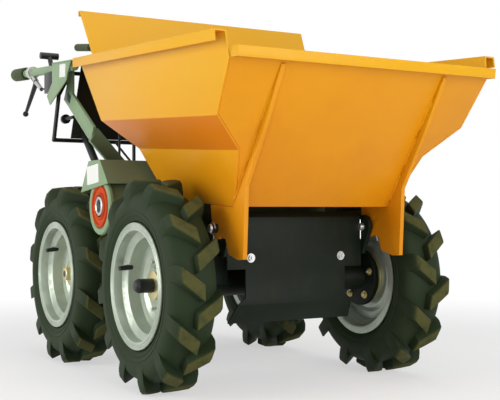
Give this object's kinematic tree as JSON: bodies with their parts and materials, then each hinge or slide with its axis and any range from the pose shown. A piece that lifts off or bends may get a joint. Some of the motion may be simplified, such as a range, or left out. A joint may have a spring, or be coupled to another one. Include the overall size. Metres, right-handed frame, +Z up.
{
  "type": "walk-behind site dumper",
  "caption": "Walk-behind site dumper: a tipping stepped skip over lugged wheels, with an engine under a hood and a long rear handle with levers.",
  "frame": {"origin": "on the ground, in the middle of the machine's length and width", "axes": "+X forward over the front lip of the skip, +Y to the machine's left, +Z up"},
  "size_m": [1.5762, 0.712, 0.9308],
  "materials": {
    "skip_paint": "semi-gloss yellow-orange paint",
    "frame_paint": "satin grey-green paint",
    "dark_paint": "satin dark green-black paint",
    "black_paint": "satin black paint",
    "engine_metal": "dark cast metal",
    "starter_red": "red-orange paint",
    "rim_silver": "silver paint",
    "zinc": "yellow zinc plating",
    "tyre": "matt black rubber",
    "grip_rubber": "matt rubber foam",
    "black_plastic": "black plastic"
  },
  "bodies": {
    "chassis": {"rail_right": "dark_paint", "rail_left": "dark_paint", "front_cover": "dark_paint", "rear_cross": "dark_paint", "skip_rest": "grip_rubber", "front_axle": "dark_paint", "rear_axle": "dark_paint", "handle_frame": "dark_paint", "drive_case": "dark_paint", "engine": "engine_metal", "starter_housing": "frame_paint", "starter_ring": "starter_red", "hood": "frame_paint", "arm_right": "frame_paint", "arm_left": "frame_paint", "stays": "black_paint", "guard_panel": "black_paint", "guard_hoop": "black_paint", "console_top": "frame_paint", "console_right": "frame_paint", "console_left": "frame_paint", "handlebar_right": "frame_paint", "handlebar_left": "frame_paint", "grip_right": "grip_rubber", "grip_left": "grip_rubber", "lever_right": "black_paint", "lever_left": "black_paint", "pull_handle": "black_plastic", "gear_lever": "black_paint", "switch_box": "black_plastic", "control_rods": "black_paint"},
    "skip": {"skip_front": "skip_paint", "skip_rear": "skip_paint", "skip_side_right": "skip_paint", "skip_side_left": "skip_paint", "skip_floor": "skip_paint", "skip_rib_right": "skip_paint", "skip_rib_left": "skip_paint"},
    "wheel_front_right": {"tyre_front_right": "tyre", "rim_front_right": "rim_silver", "hub_front_right": "zinc", "knob_right": "black_plastic"},
    "wheel_front_left": {"tyre_front_left": "tyre", "rim_front_left": "rim_silver", "hub_front_left": "zinc", "knob_left": "black_plastic"},
    "wheel_rear_right": {"tyre_rear_right": "tyre", "rim_rear_right": "rim_silver", "hub_rear_right": "zinc"},
    "wheel_rear_left": {"tyre_rear_left": "tyre", "rim_rear_left": "rim_silver", "hub_rear_left": "zinc"}
  },
  "joints": [
    {"name": "wheel_front_right_spin", "type": "hinge", "parent": "chassis", "child": "wheel_front_right", "pos_m": [0.36946, -0.302, 0.2365], "axis": [0, 1, 0], "continuous": true},
    {"name": "wheel_front_left_spin", "type": "hinge", "parent": "chassis", "child": "wheel_front_left", "pos_m": [0.36946, 0.302, 0.2365], "axis": [0, 1, 0], "continuous": true},
    {"name": "wheel_rear_right_spin", "type": "hinge", "parent": "chassis", "child": "wheel_rear_right", "pos_m": [-0.17054, -0.302, 0.2365], "axis": [0, 1, 0], "continuous": true},
    {"name": "wheel_rear_left_spin", "type": "hinge", "parent": "chassis", "child": "wheel_rear_left", "pos_m": [-0.17054, 0.302, 0.2365], "axis": [0, 1, 0], "continuous": true},
    {"name": "skip_tip", "type": "hinge", "parent": "chassis", "child": "skip", "pos_m": [0.48446, 0, 0.364], "axis": [0, 1, 0], "range_deg": [0, 85]}
  ]
}
